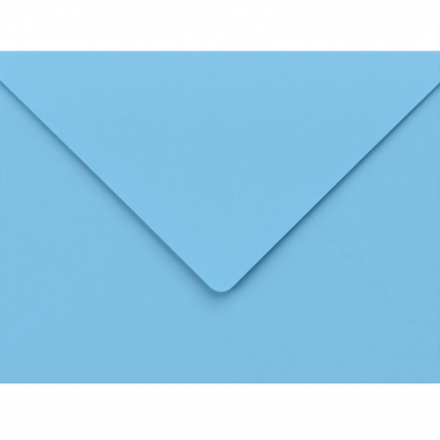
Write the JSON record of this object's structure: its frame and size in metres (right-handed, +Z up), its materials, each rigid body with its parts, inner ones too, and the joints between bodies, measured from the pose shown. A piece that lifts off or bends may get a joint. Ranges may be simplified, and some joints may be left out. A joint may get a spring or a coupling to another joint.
{
  "type": "paper envelope",
  "caption": "Rectangular coloured paper envelope with diagonal side seams and a pointed closure flap with a rounded tip, folded down but not stuck.",
  "frame": {"origin": "middle of the outside of the address panel, which the envelope lies on", "axes": "+X along the long sides, +Y towards the closure flap's fold, +Z up, out of the flap side"},
  "size_m": [0.18, 0.12, 0.0058],
  "materials": {
    "paper": "matte, uncoated, dyed light blue"
  },
  "bodies": {
    "root": {"envelope": "paper"}
  },
  "joints": []
}
